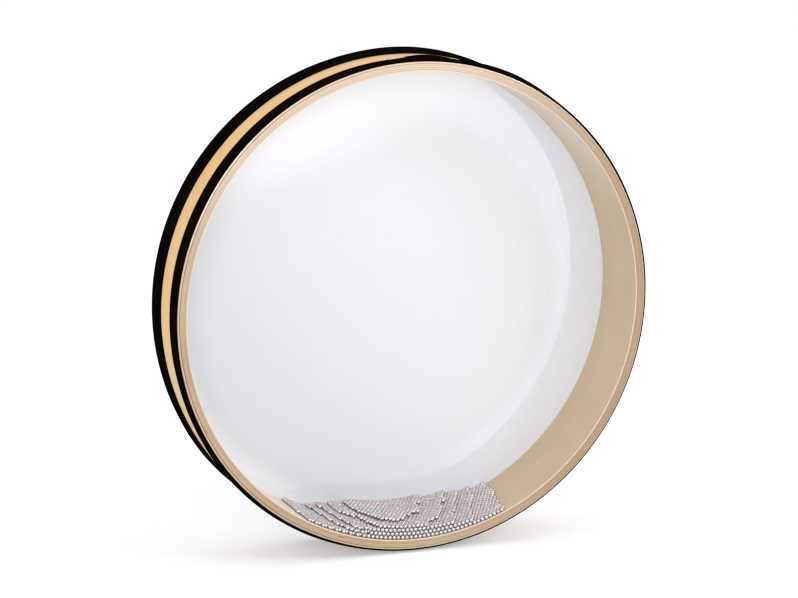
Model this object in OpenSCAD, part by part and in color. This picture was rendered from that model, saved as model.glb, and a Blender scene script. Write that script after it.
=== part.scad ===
// Ocean drum: a shallow round drum with a clear front head, a white rear head and steel shot
// that rolls inside. The drum stands on its edge as it is held to be shown, with its axis
// along Y, the clear head towards -Y, +Z up, and the origin at the middle of the shell.

/* [Shell] */
// Outside diameter of the wooden shell
shell_d = 355.6; // [300:0.1:560]
// Depth of the shell from head to head
shell_depth = 62; // [55:0.5:110]
// Thickness of the outer ply
outer_ply_t = 1.4; // [1.1:0.1:3]
// Thickness of each of the three core plies
core_ply_t = 1.3; // [0.8:0.1:3]
// Thickness of the inner ply
inner_ply_t = 1.4; // [0.8:0.1:3]
// Glue line between two plies
glue_t = 0.1; // [0.06:0.01:0.2]
// Rounding of the outer bearing edge
edge_round = 0.8; // [0.4:0.1:1]
// Rounding of the inner edge
inner_round = 0.4; // [0.2:0.1:0.6]
// Length along the wall over which the two ends of a core ply overlap in its scarf joint
scarf_len = 8; // [5:0.5:10]
// Glue line where the two ends of a ply meet
joint_gap = 0.12; // [0.08:0.01:0.2]

/* [Heads] */
// Thickness of the clear film of the front head
front_film_t = 0.25; // [0.18:0.01:0.4]
// Thickness of the white film of the rear head
rear_film_t = 0.25; // [0.18:0.01:0.4]
// Length of the front head's collar along the wall
front_collar = 13; // [8:0.5:14]
// Length of the rear head's collar along the wall
rear_collar = 14; // [8:0.5:14]
// Glue between a collar and the wall
bond_t = 0.05; // [0.03:0.01:0.1]

/* [Tape] */
// Width of the black cloth tape round the front edge
front_tape_w = 19; // [17:0.5:25]
// Width of the black cloth tape round the rear edge
rear_tape_w = 22; // [17:0.5:25]
// Thickness of the tape
tape_t = 0.35; // [0.2:0.05:0.6]
// Adhesive under the tape
adhesive_t = 0.05; // [0.03:0.01:0.1]
// Distance of a tape's edge behind the face of its head
tape_setback = 0.3; // [0.2:0.05:0.6]
// Length over which a tape slopes down from the collar to the wood
tape_ramp = 1; // [0.5:0.1:2]
// Length of the front tape's overlap, where its end is laid on its start
front_lap = 9; // [5:0.5:20]
// Length of the rear tape's overlap
rear_lap = 12; // [5:0.5:20]
// Place of the front tape's overlap, in degrees from +X towards +Z
front_lap_at = 80; // [0:1:359]
// Place of the rear tape's overlap, in degrees from +X towards +Z
rear_lap_at = 300; // [0:1:359]

/* [Shot] */
// Diameter of one steel ball
ball_d = 3.175; // [2.8:0.005:4]
// Least space between two balls
ball_gap = 0.08; // [0.075:0.005:0.15]
// Space between the balls and the walls that they roll on
roll_gap = 0.3; // [0.2:0.05:0.5]
// How far the bed of shot reaches to the left of the drum's middle
bed_left = 83; // [40:1:100]
// How far the bed of shot reaches to the right of the drum's middle
bed_right = 75; // [40:1:100]
// Depth of the heap of shot over the lowest point of the wall
heap_depth = 12.9; // [5:0.1:18]
// Slope of the top of the heap, in degrees, down towards +X
heap_slope = 3.5; // [0:0.5:8]

/* [Hidden] */
$fn = 96;
// One overrun serves every cut
cut = 1;

// Shell
shell_r = shell_d / 2;
half_depth = shell_depth / 2;
core_plies = 3;
ply_t = [outer_ply_t, core_ply_t, core_ply_t, core_ply_t, inner_ply_t];
function ply_outer_r(i) = i == 0 ? shell_r : ply_outer_r(i - 1) - ply_t[i - 1] - glue_t;
function ply_inner_r(i) = ply_outer_r(i) - ply_t[i];
last_ply = core_plies + 1;
cavity_r = ply_inner_r(last_ply);
// The joints are spread round the shell, as a maker does so that no two come together
joint_at = [318, 205, 68, 251, 22];
scarf_slope = [for (t = ply_t) atan(t / scarf_len)];
// A scarf cut is this much longer than the joint, so that it passes both faces of its ply
scarf_cut_share = 1.7;

// Tape
// How far the cloth of an overlap is lifted, of the tape's thickness
lap_lift_share = 0.9;

// Shot
ball_r = ball_d / 2;
ball_pitch = ball_d + ball_gap;
// Rows lie on each other's gaps, and sheets beside each other's gaps
nest_step = ball_pitch * sqrt(3) / 2;
bed_r = cavity_r - roll_gap - ball_r;
rows = 1 + floor((heap_depth - roll_gap - ball_d) / nest_step + 0.001);
top_row_r = bed_r - (rows - 1) * nest_step;
// Every row has the bed's angles, so the pitch is set where the rows are tightest, at the top
pitch_angle = 2 * asin(ball_pitch / 2 / top_row_r);
bed_left_angle = asin(bed_left / bed_r);
bed_right_angle = asin(bed_right / bed_r);
balls_in_bed = 1 + floor((bed_left_angle + bed_right_angle) / pitch_angle);
heap_top_z = heap_depth - cavity_r;
sheet_room = shell_depth - 2 * roll_gap - ball_d;
sheets = 1 + floor(sheet_room / nest_step);
sheet_step = sheet_room / (sheets - 1);

PLIES = ["shell_outer_ply", "shell_second_ply", "shell_middle_ply", "shell_fourth_ply", "shell_inner_ply"];
SHEETS = [for (k = [1 : sheets]) str("shot_sheet_", k)];

// Turns a piece that is made round Z, with its front end up, onto the drum's axis
module on_drum_axis() {
    rotate([90, 0, 0]) children();
}

// The rear end of the drum, made from the same profiles as the front
module at_rear() {
    mirror([0, 0, 1]) children();
}

// Half of the section of a disc with a rounded rim, from the middle of the drum to one face
module rimmed_half(radius, height, round_r) {
    difference() {
        square([radius, height]);
        translate([radius - round_r, height - round_r]) difference() {
            square(round_r + cut);
            circle(round_r);
        }
    }
}

// The corner that is taken off the inner ply's edge, placed at the corner
module inner_corner() {
    translate([inner_round, -inner_round]) difference() {
        translate([-inner_round - cut, 0]) square(inner_round + cut);
        circle(inner_round);
    }
}

module ply_section(i) {
    difference() {
        translate([ply_inner_r(i), -half_depth]) square([ply_t[i], shell_depth]);
        if (i == 0) for (side = [0, 1]) mirror([0, side]) {
            translate([shell_r - edge_round, half_depth - edge_round]) difference() {
                square(edge_round + cut);
                circle(edge_round);
            }
        }
        if (i == last_ply) for (side = [0, 1]) mirror([0, side]) {
            translate([cavity_r, half_depth]) inner_corner();
        }
    }
}

// The slanted glue line where a core ply's two tapered ends lie on each other
module scarf_cut(i) {
    mean_r = (ply_outer_r(i) + ply_inner_r(i)) / 2;
    rotate([0, 0, joint_at[i]]) translate([mean_r, 0, 0]) rotate([0, 0, scarf_slope[i]])
        cube([joint_gap, scarf_len * scarf_cut_share, shell_depth + 2 * cut], center = true);
}

// A core veneer, bent to a hoop and closed by its scarf joint
module core_ply(i) {
    on_drum_axis() difference() {
        rotate_extrude() ply_section(i);
        scarf_cut(i);
    }
}

// A face veneer, bent to a hoop whose two square ends meet in a butt joint
module face_ply(i) {
    gap_angle = joint_gap / ply_outer_r(i) * 180 / PI;
    on_drum_axis() rotate([0, 0, joint_at[i] + gap_angle / 2])
        rotate_extrude(angle = 360 - gap_angle) ply_section(i);
}

// A film head: a flat skin that turns over the bearing edge into a collar
module head(film_t, collar) {
    rotate_extrude() difference() {
        rimmed_half(shell_r + bond_t + film_t, half_depth + film_t, edge_round + film_t);
        rimmed_half(shell_r + bond_t, half_depth, edge_round);
        square([shell_r + bond_t + film_t + cut, half_depth - collar]);
    }
}

// Section of a tape over a collar: it follows the rounded edge, then steps down to the wood
module tape_section(film_t, collar, width, lift) {
    over_r = shell_r + bond_t + film_t + adhesive_t + lift;
    wood_r = shell_r + adhesive_t + lift;
    round_r = edge_round + film_t + adhesive_t + lift;
    face_z = half_depth + film_t;
    collar_z = half_depth - collar;
    intersection() {
        union() {
            difference() {
                rimmed_half(over_r + tape_t, face_z + adhesive_t + lift + tape_t, round_r + tape_t);
                rimmed_half(over_r, face_z + adhesive_t + lift, round_r);
                square([over_r + tape_t + cut, collar_z]);
            }
            polygon([[over_r, collar_z], [wood_r, collar_z - tape_ramp], [wood_r, 0],
                [wood_r + tape_t, 0], [wood_r + tape_t, collar_z - tape_ramp],
                [over_r + tape_t, collar_z]]);
        }
        translate([0, face_z - tape_setback - width]) square([over_r + tape_t + cut, width]);
    }
}

// A tape band with its end laid over its start, where the cloth beds in a little
module tape(film_t, collar, width, lap, lap_at) {
    lap_angle = lap / shell_r * 180 / PI;
    rotate_extrude() tape_section(film_t, collar, width, 0);
    rotate([0, 0, lap_at - lap_angle / 2]) rotate_extrude(angle = lap_angle)
        tape_section(film_t, collar, width, tape_t * lap_lift_share);
}

// Is a ball at angle a from straight down, in row j, in the pile?
function in_pile(a, j) =
    let (r = bed_r - j * nest_step, x = r * sin(a), z = -r * cos(a))
    a <= bed_right_angle && (j == 0 || z + ball_r <= heap_top_z - x * tan(heap_slope));

// One sheet of shot, parallel to the heads: rows that follow the wall, each in the gaps of the next
module shot_sheet(k) {
    color("silver") translate([0, -half_depth + roll_gap + ball_r + (k - 1) * sheet_step, 0])
        for (j = [0 : rows - 1]) {
            r = bed_r - j * nest_step;
            for (i = [0 : balls_in_bed - 1]) {
                a = -bed_left_angle + (i + ((j + k) % 2) / 2) * pitch_angle;
                if (in_pile(a, j)) translate([r * sin(a), 0, -r * cos(a)]) sphere(ball_r, $fn = 24);
            }
        }
}

module shell_outer_ply() { color("burlywood") face_ply(0); }
module shell_second_ply() { color("tan") core_ply(1); }
module shell_middle_ply() { color("burlywood") core_ply(2); }
module shell_fourth_ply() { color("tan") core_ply(3); }
module shell_inner_ply() { color("wheat") face_ply(last_ply); }
module front_head() { color([0.92, 0.95, 0.98, 0.25]) on_drum_axis() head(front_film_t, front_collar); }
module rear_head() { color([0.93, 0.93, 0.94]) on_drum_axis() at_rear() head(rear_film_t, rear_collar); }
module front_tape() {
    color([0.08, 0.07, 0.07]) on_drum_axis()
        tape(front_film_t, front_collar, front_tape_w, front_lap, front_lap_at);
}
module rear_tape() {
    color([0.08, 0.07, 0.07]) on_drum_axis() at_rear()
        tape(rear_film_t, rear_collar, rear_tape_w, rear_lap, rear_lap_at);
}

shell_outer_ply();
shell_second_ply();
shell_middle_ply();
shell_fourth_ply();
shell_inner_ply();
front_head();
rear_head();
front_tape();
rear_tape();
for (k = [1 : sheets]) shot_sheet(k);
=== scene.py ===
"""Looks of the ocean drum: finishes of its shell, heads and tapes, the heap of shot, and the studio."""

import logging
import math
from dataclasses import dataclass
from enum import Enum
from typing import NamedTuple

import bpy
import numpy as np
from mathutils import Matrix, Vector, kdtree, noise


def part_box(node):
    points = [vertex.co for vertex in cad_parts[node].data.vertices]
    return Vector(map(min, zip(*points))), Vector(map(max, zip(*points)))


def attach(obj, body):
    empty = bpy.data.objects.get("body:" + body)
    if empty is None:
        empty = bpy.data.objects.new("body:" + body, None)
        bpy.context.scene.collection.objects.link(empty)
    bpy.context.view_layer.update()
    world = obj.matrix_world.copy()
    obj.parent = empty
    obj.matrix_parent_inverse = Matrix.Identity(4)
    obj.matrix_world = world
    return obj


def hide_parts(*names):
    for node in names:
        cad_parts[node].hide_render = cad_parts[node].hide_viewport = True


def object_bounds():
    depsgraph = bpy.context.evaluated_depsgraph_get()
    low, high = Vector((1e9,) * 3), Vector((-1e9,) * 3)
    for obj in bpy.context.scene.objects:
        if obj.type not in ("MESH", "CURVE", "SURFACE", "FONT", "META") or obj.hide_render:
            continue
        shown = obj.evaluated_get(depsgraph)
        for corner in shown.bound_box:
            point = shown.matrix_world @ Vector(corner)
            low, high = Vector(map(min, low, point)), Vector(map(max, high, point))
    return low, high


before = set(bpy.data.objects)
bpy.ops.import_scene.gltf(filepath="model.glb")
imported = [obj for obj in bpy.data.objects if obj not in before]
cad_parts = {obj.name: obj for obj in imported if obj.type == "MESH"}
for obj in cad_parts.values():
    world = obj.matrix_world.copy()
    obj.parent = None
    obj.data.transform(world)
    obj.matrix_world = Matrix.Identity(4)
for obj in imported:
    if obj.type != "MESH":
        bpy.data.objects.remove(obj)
cad_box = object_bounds()
log = logging.getLogger("ocean_drum")

Colour = tuple[float, float, float]
Span = tuple[float, float]
Point = tuple[float, float]
Socket = bpy.types.NodeSocket

MM = 0.001
EDGE_ROUND = 1.05 * MM  # The radius of the heads' turn over the shell's edges.
WHITE: Colour = (1.0, 1.0, 1.0)
FLOAT = "NodeSocketFloat"
COLOUR = "NodeSocketColor"


class Body(Enum):
    """The two bodies of the drum: what is held still, and what rolls inside."""

    DRUM = "drum"
    SHOT = "shot"


class Slot(Enum):
    """Names of the record's material slots."""

    CLEAR_FILM = "clear_film"
    CLOTH_TAPE = "cloth_tape"
    STEEL_SHOT = "steel_shot"


def srgb(red: int, green: int, blue: int) -> Colour:
    """Turn a colour as it is seen on a screen into the linear values that a shader takes.

    Args:
        red: Red from 0 to 255.
        green: Green from 0 to 255.
        blue: Blue from 0 to 255.

    Returns:
        The linear red, green and blue, from 0 to 1.
    """
    linear = []
    for value in (red, green, blue):
        share = value / 255
        linear.append(share / 12.92 if share <= 0.04045 else ((share + 0.055) / 1.055) ** 2.4)
    return (linear[0], linear[1], linear[2])


def eased(share: float) -> float:
    """Ease a share in and out, kept from 0 to 1."""
    share = min(max(share, 0.0), 1.0)
    return share * share * (3 - 2 * share)


class Place(NamedTuple):
    """A place on a surface, as sockets: x, y and z from the drum's middle, and how far from its axis."""

    x: Socket
    y: Socket
    z: Socket
    radius: Socket


class Graph:
    """Adds nodes to one shader node tree and links them."""

    def __init__(self, tree: bpy.types.NodeTree) -> None:
        """Keep the tree that the nodes go into."""
        self.tree = tree

    def add(self, kind: str, **settings: object) -> bpy.types.Node:
        """Add a node.

        Args:
            kind: The node's type name.
            settings: Values of the node's own properties.

        Returns:
            The new node.
        """
        node = self.tree.nodes.new(kind)
        for name, value in settings.items():
            setattr(node, name, value)
        return node

    def put(self, value: object, socket: Socket) -> None:
        """Link a socket's value, or set it when it is a plain number or colour.

        Args:
            value: An output socket, a number, or three numbers.
            socket: The input that takes it.
        """
        if isinstance(value, Socket):
            self.tree.links.new(value, socket)
        elif isinstance(value, tuple) and socket.type == "RGBA":
            socket.default_value = (*value, 1.0)
        else:
            socket.default_value = value

    def math(self, operation: str, first: object, second: object = 0.0, clamp: bool = False) -> Socket:
        """Work out a sum of two numbers.

        Args:
            operation: The sum, such as ADD or POWER.
            first: The first number or socket.
            second: The second number or socket.
            clamp: Whether the result is kept between 0 and 1.

        Returns:
            The result's socket.
        """
        node = self.add("ShaderNodeMath", operation=operation, use_clamp=clamp)
        self.put(first, node.inputs[0])
        self.put(second, node.inputs[1])
        return node.outputs[0]

    def blend(self, share: float, first: Socket, second: Socket) -> Socket:
        """Blend two numbers.

        Args:
            share: How much of the first one counts. The second has the rest.
            first: The first number.
            second: The second number.

        Returns:
            The blended number.
        """
        rest = self.math("MULTIPLY", second, 1.0 - share)
        return self.math("ADD", self.math("MULTIPLY", first, share), rest)

    def wave(self, angle: Socket) -> Socket:
        """Make a wave of an angle.

        Args:
            angle: The angle in radians.

        Returns:
            Its sine, raised to lie between 0 and 1.
        """
        wave = self.math("MULTIPLY_ADD", self.math("SINE", angle), 0.5)
        wave.node.inputs[2].default_value = 0.5
        return wave

    def combine(self, x: object, y: object, z: object) -> Socket:
        """Join three numbers to a vector.

        Args:
            x: The first number or socket.
            y: The second number or socket.
            z: The third number or socket.

        Returns:
            The vector's socket.
        """
        node = self.add("ShaderNodeCombineXYZ")
        for value, socket in zip((x, y, z), node.inputs):
            self.put(value, socket)
        return node.outputs[0]

    def noise(self, vector: Socket, scale: object, detail: float = 3.0, roughness: float = 0.55) -> Socket:
        """Add a noise texture.

        Args:
            vector: Where the noise is read.
            scale: How many features a unit of the vector holds.
            detail: How many finer layers lie on it.
            roughness: How strong the finer layers are.

        Returns:
            The noise's value from 0 to 1.
        """
        node = self.add("ShaderNodeTexNoise")
        self.put(vector, node.inputs["Vector"])
        self.put(scale, node.inputs["Scale"])
        self.put(detail, node.inputs["Detail"])
        self.put(roughness, node.inputs["Roughness"])
        return node.outputs["Fac"]

    def spread(
        self, value: Socket, low: object, high: object, to_low: float = 0.0, to_high: float = 1.0
    ) -> Socket:
        """Stretch a range of values to another range, eased at both ends and kept within it.

        Args:
            value: The value to stretch.
            low: The value that becomes to_low.
            high: The value that becomes to_high.
            to_low: The result at low.
            to_high: The result at high.

        Returns:
            The stretched value.
        """
        node = self.add("ShaderNodeMapRange", interpolation_type="SMOOTHSTEP")
        for number, socket in zip((value, low, high, to_low, to_high), node.inputs):
            self.put(number, socket)
        return node.outputs["Result"]

    def mix(self, share: object, first: object, second: object) -> Socket:
        """Mix two colours.

        Args:
            share: How much of the second colour shows.
            first: The first colour.
            second: The second colour.

        Returns:
            The mixed colour.
        """
        node = self.add("ShaderNodeMix", data_type="RGBA")
        factor, first_colour, second_colour = node.inputs[0], node.inputs[6], node.inputs[7]
        self.put(share, factor)
        self.put(first, first_colour)
        self.put(second, second_colour)
        return node.outputs[2]

    def bump(self, height: Socket, distance: float, strength: float = 1.0) -> Socket:
        """Turn a height into a normal.

        Args:
            height: The height from 0 to 1.
            distance: The real height that 1 stands for, in metres.
            strength: How much of the effect shows.

        Returns:
            The bent normal.
        """
        node = self.add("ShaderNodeBump")
        self.put(height, node.inputs["Height"])
        node.inputs["Distance"].default_value = distance
        node.inputs["Strength"].default_value = strength
        return node.outputs["Normal"]

    def place(self) -> Place:
        """Find the place on the surface.

        Returns:
            Its sockets.
        """
        parts = self.add("ShaderNodeSeparateXYZ")
        self.put(self.add("ShaderNodeTexCoord").outputs["Object"], parts.inputs[0])
        x, y, z = parts.outputs
        squares = self.math("ADD", self.math("MULTIPLY", x, x), self.math("MULTIPLY", z, z))
        return Place(x, y, z, self.math("SQRT", squares))

    def side(self, place: Place) -> Socket:
        """Return how far to the side a place lies, from -1 on the left to 1 on the right."""
        return self.math("DIVIDE", place.x, place.radius)

    def lean(self, place: Place, tilt: float) -> Socket:
        """Work out how high round the drum a place lies.

        Args:
            place: The place.
            tilt: How far the highest place is turned to the left, as a tangent.

        Returns:
            About 1 at the top and -1 at the bottom.
        """
        height = self.math("SUBTRACT", place.z, self.math("MULTIPLY", place.x, tilt))
        return self.math("DIVIDE", height, place.radius)

    def round_the_axis(self, along: object, across: object) -> Socket:
        """Return a vector for figure that runs round the drum, on its wall and on its faces alike.

        Args:
            along: Features in one radian round the axis.
            across: Features in one metre across.

        Returns:
            The vector, which has no seam.
        """
        place = self.place()
        cosine = self.side(place)
        sine = self.math("DIVIDE", place.z, place.radius)
        depth = self.math("MULTIPLY", self.math("ADD", place.y, place.radius), across)
        return self.combine(self.math("MULTIPLY", cosine, along), self.math("MULTIPLY", sine, along), depth)


class EffectGroup:
    """A shader node group with named sockets, which materials share."""

    def __init__(self, name: str, inputs: dict[str, str], outputs: dict[str, str]) -> None:
        """Make an empty group.

        Args:
            name: The group's name.
            inputs: Socket names and types that go in.
            outputs: Socket names and types that come out.
        """
        self.tree = bpy.data.node_groups.new(name, "ShaderNodeTree")
        for side, sockets in (("INPUT", inputs), ("OUTPUT", outputs)):
            for socket, kind in sockets.items():
                self.tree.interface.new_socket(name=socket, in_out=side, socket_type=kind)
        self.graph = Graph(self.tree)
        self.entry = self.graph.add("NodeGroupInput")
        self.exit = self.graph.add("NodeGroupOutput")

    def into(self, graph: Graph, **values: object) -> bpy.types.Node:
        """Place the group in a material.

        Args:
            graph: The material's graph.
            values: Values of the inputs, by their names.

        Returns:
            The group's node there.
        """
        node = graph.add("ShaderNodeGroup", node_tree=self.tree)
        for name, value in values.items():
            graph.put(value, node.inputs[name])
        return node


def wood_figure() -> EffectGroup:
    """Build the figure of bent veneer: long streaks round the drum, fine pores and broad changes of tone.

    Returns:
        The group, with inputs Light, Dark, Along, Across and Contrast, and outputs Color and Height.
    """
    pore_scale = 4.7
    broad_grain = (2.3, 34.0)
    streak_share, fine_share = 0.7, 0.62
    middle_tone = 0.5
    inputs = {"Light": COLOUR, "Dark": COLOUR, "Along": FLOAT, "Across": FLOAT, "Contrast": FLOAT}
    group = EffectGroup("wood_figure", inputs, {"Color": COLOUR, "Height": FLOAT})
    graph, entry = group.graph, group.entry
    grain = graph.round_the_axis(entry.outputs["Along"], entry.outputs["Across"])
    streaks = graph.noise(grain, 1.0, detail=5.0, roughness=0.6)
    pores = graph.noise(grain, pore_scale, detail=2.0)
    broad = graph.noise(graph.round_the_axis(*broad_grain), 1.0, detail=2.0)
    fine = graph.blend(streak_share, streaks, pores)
    tone = graph.blend(fine_share, fine, broad)
    centred = graph.math("MULTIPLY", graph.math("SUBTRACT", tone, middle_tone), entry.outputs["Contrast"])
    share = graph.math("ADD", centred, middle_tone, clamp=True)
    graph.put(graph.mix(share, entry.outputs["Light"], entry.outputs["Dark"]), group.exit.inputs["Color"])
    graph.put(fine, group.exit.inputs["Height"])
    return group


def glue_stain() -> EffectGroup:
    """Build the stain beside a glue line, which lies at one distance from the drum's axis.

    Returns:
        The group, with inputs Radius and Width in metres, and output Mask.
    """
    wander_grain = (14.0, 300.0)
    least_reach = 0.5
    group = EffectGroup("glue_stain", {"Radius": FLOAT, "Width": FLOAT}, {"Mask": FLOAT})
    graph, entry = group.graph, group.entry
    away = graph.math("ABSOLUTE", graph.math("SUBTRACT", graph.place().radius, entry.outputs["Radius"]))
    wander = graph.math("ADD", graph.noise(graph.round_the_axis(*wander_grain), 1.0), least_reach)
    reach = graph.math("MULTIPLY", entry.outputs["Width"], wander)
    graph.put(graph.spread(away, reach, 0.0), group.exit.inputs["Mask"])
    return group


def film_haze() -> EffectGroup:
    """Build the faint unevenness of a film's gloss, from rolling and from hands.

    Returns:
        The group, with inputs Smooth, Hazy and Scale, and outputs Roughness and Height.
    """
    hazy_band = (0.42, 0.68)
    inputs = {"Smooth": FLOAT, "Hazy": FLOAT, "Scale": FLOAT}
    group = EffectGroup("film_haze", inputs, {"Roughness": FLOAT, "Height": FLOAT})
    graph, entry = group.graph, group.entry
    place = graph.place()
    patches = graph.noise(graph.combine(place.x, place.y, place.z), entry.outputs["Scale"], detail=4.0)
    share = graph.spread(patches, *hazy_band)
    smooth, hazy = entry.outputs["Smooth"], entry.outputs["Hazy"]
    rise = graph.math("MULTIPLY", graph.math("SUBTRACT", hazy, smooth), share)
    graph.put(graph.math("ADD", smooth, rise), group.exit.inputs["Roughness"])
    graph.put(patches, group.exit.inputs["Height"])
    return group


@dataclass(frozen=True)
class Finish:
    """A finish with a name, and how its material starts."""

    name: str

    def start(self) -> tuple[bpy.types.Material, Graph, bpy.types.Node]:
        """Make the material with its shader.

        Returns:
            The material, its graph and its shader node.
        """
        material = bpy.data.materials.new(self.name)
        material.use_nodes = True
        graph = Graph(material.node_tree)
        return material, graph, material.node_tree.nodes["Principled BSDF"]


@dataclass(frozen=True)
class VeneerFinish(Finish):
    """Wooden veneer: its figure, its sanded edge, a stain of glue where it meets the next ply, and painted
    light and shade on its edge and wall.

    Spans of sides run from the left, -1, to the right, 1, and spans of leans from the bottom, -1, to the
    top, 1. The edge is what the drum shows between its wall and a head.
    """

    light: Colour
    dark: Colour
    stain: Colour
    along: float = 3.0
    across: float = 900.0
    contrast: float = 2.8
    pore_depth: float = 0.03 * MM
    pore_strength: float = 0.5
    roughness: float = 0.5
    sheen: float = 0.3
    lacquer: float = 0.0
    lacquer_roughness: float = 0.22

    stain_radii: tuple[float, ...] = ()
    stain_width: float = 0.35 * MM
    stain_sides: Span = (0.3, -0.6)
    stain_shares: Span = (0.35, 1.0)

    edge: Colour | None = None
    edge_from: float = 30.6 * MM
    edge_fade: float = 0.3 * MM
    tilt: float = 0.15
    # Painted light: the edge is paler towards the top.
    top: Colour = srgb(219, 196, 168)
    painted_light_leans: Span = (0.35, 0.95)
    painted_light_share: float = 0.75
    # Painted shade: the edge is darker on the right.
    right: Colour = srgb(146, 112, 88)
    painted_shade_sides: Span = (0.1, 0.8)
    painted_shade_share: float = 0.38

    # Painted light: the inner wall is paler towards the top and on its left.
    wall: Colour | None = None
    lit_wall_leans: Span = (0.1, 0.9)
    lit_wall_sides: Span = (-0.25, -0.6)

    worn_from: float | None = None
    worn: Colour = srgb(222, 213, 202)
    worn_reach: Span = (0.75 * MM, 0.2 * MM)
    worn_share: float = 0.8

    def painted_light_by_height(self, graph: Graph, place: Place, edge: Socket, colour: Socket) -> Socket:
        """Paint light on the edge and the wall: both paler towards the top, and the wall also on its left.

        Args:
            graph: The material's graph.
            place: The place on the surface.
            edge: Where the edge is.
            colour: The wood's colour.

        Returns:
            The colour with its painted light.
        """
        lean = graph.lean(place, self.tilt)
        # Painted light: paler towards the top.
        above = graph.spread(lean, *self.painted_light_leans, 0.0, self.painted_light_share)
        if self.edge is not None:
            colour = graph.mix(edge, colour, self.edge)
            above = graph.math("MULTIPLY", above, edge)
        # Painted light on the wall, away from the edge.
        if self.wall is not None:
            low_left = graph.spread(graph.side(place), *self.lit_wall_sides)
            lit = graph.math("MAXIMUM", graph.spread(lean, *self.lit_wall_leans), low_left)
            colour = graph.mix(graph.math("SUBTRACT", lit, edge, clamp=True), colour, self.wall)
        return graph.mix(above, colour, self.top)

    def on_the_edge(self, graph: Graph, place: Place, edge: Socket, colour: Socket) -> Socket:
        """Paint shade on the edge on the right, and wear its inner rim pale.

        Args:
            graph: The material's graph.
            place: The place on the surface.
            edge: Where the edge is.
            colour: The toned colour.

        Returns:
            The colour with the edge's painted shade and wear.
        """
        # Painted shade: the edge darker towards the right.
        shade = graph.spread(graph.side(place), *self.painted_shade_sides, 0.0, self.painted_shade_share)
        colour = graph.mix(graph.math("MULTIPLY", shade, edge), colour, self.right)
        if self.worn_from is not None:
            outer, inner = (self.worn_from + reach for reach in self.worn_reach)
            wear = graph.spread(place.radius, outer, inner, 0.0, self.worn_share)
            colour = graph.mix(graph.math("MULTIPLY", wear, edge), colour, self.worn)
        return colour

    def stained(self, graph: Graph, place: Place, group: EffectGroup, colour: Socket) -> Socket:
        """Lay the glue's stain at each glue line, strongest on the left.

        Args:
            graph: The material's graph.
            place: The place on the surface.
            group: The shared glue stain.
            colour: The colour under it.

        Returns:
            The stained colour.
        """
        left = graph.spread(graph.side(place), *self.stain_sides, *self.stain_shares)
        for radius in self.stain_radii:
            mask = group.into(graph, Radius=radius, Width=self.stain_width).outputs["Mask"]
            colour = graph.mix(graph.math("MULTIPLY", mask, left), colour, self.stain)
        return colour

    def material(self, figure: EffectGroup, stain: EffectGroup) -> bpy.types.Material:
        """Make the material.

        Args:
            figure: The shared wood figure.
            stain: The shared glue stain.

        Returns:
            The veneer's material.
        """
        material, graph, shader = self.start()
        wood = figure.into(
            graph, Light=self.light, Dark=self.dark,
            Along=self.along, Across=self.across, Contrast=self.contrast,
        )
        place = graph.place()
        depth = graph.math("ABSOLUTE", place.y)
        edge = graph.spread(depth, self.edge_from, self.edge_from + self.edge_fade)
        colour = self.painted_light_by_height(graph, place, edge, wood.outputs["Color"])
        colour = self.on_the_edge(graph, place, edge, colour)
        graph.put(self.stained(graph, place, stain, colour), shader.inputs["Base Color"])
        shader.inputs["Roughness"].default_value = self.roughness
        shader.inputs["Specular IOR Level"].default_value = self.sheen
        shader.inputs["Coat Weight"].default_value = self.lacquer
        shader.inputs["Coat Roughness"].default_value = self.lacquer_roughness
        pores = graph.bump(wood.outputs["Height"], self.pore_depth, self.pore_strength)
        graph.put(pores, shader.inputs["Normal"])
        return material


@dataclass(frozen=True)
class ClothTapeFinish(Finish):
    """Black woven tape: ribs across it, finer threads along it, and on their crests lighter fibres with a
    painted brownish sheen, in patches.
    """

    ground: Colour
    fibre_and_sheen: Colour
    ribs_round: float = 860.0
    thread_pitch: float = 0.62 * MM
    fibre_grain: Span = (240.0, 2600.0)
    rib_share: float = 0.62
    thread_share: float = 0.2
    fibre_share: float = 0.18
    crest_band: Span = (0.35, 0.95)
    patch_grain: Span = (5.0, 60.0)
    patch_band: Span = (0.35, 0.75)
    least_shown: float = 0.35
    relief: float = 0.12 * MM
    roughness: float = 0.8

    def weave(self, graph: Graph) -> Socket:
        """Weave the cloth.

        Args:
            graph: The material's graph.

        Returns:
            Its height from 0 to 1.
        """
        place = graph.place()
        angle = graph.math("ARCTAN2", place.z, place.x)
        rib = graph.wave(graph.math("MULTIPLY", angle, self.ribs_round))
        depth = graph.math("ADD", place.y, place.radius)
        thread = graph.wave(graph.math("MULTIPLY", depth, math.tau / self.thread_pitch))
        fibres = graph.noise(graph.round_the_axis(*self.fibre_grain), 1.0)
        ribs_high = graph.math("MULTIPLY", rib, self.rib_share)
        threads_high = graph.math("MULTIPLY", thread, self.thread_share)
        fibres_high = graph.math("MULTIPLY", fibres, self.fibre_share)
        return graph.math("ADD", graph.math("ADD", ribs_high, threads_high), fibres_high)

    def material(self) -> bpy.types.Material:
        """Make the material.

        Returns:
            The tape's material.
        """
        material, graph, shader = self.start()
        height = self.weave(graph)
        # Patches where the crests show more.
        worn = graph.noise(graph.round_the_axis(*self.patch_grain), 1.0)
        wear = graph.spread(worn, *self.patch_band, self.least_shown, 1.0)
        shown = graph.math("MULTIPLY", graph.spread(height, *self.crest_band), wear)
        # The crests' colour is the cloth's lighter fibres and a painted sheen.
        graph.put(graph.mix(shown, self.ground, self.fibre_and_sheen), shader.inputs["Base Color"])
        shader.inputs["Roughness"].default_value = self.roughness
        shader.inputs["Specular IOR Level"].default_value = 0.0
        graph.put(graph.bump(height, self.relief), shader.inputs["Normal"])
        return material


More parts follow.
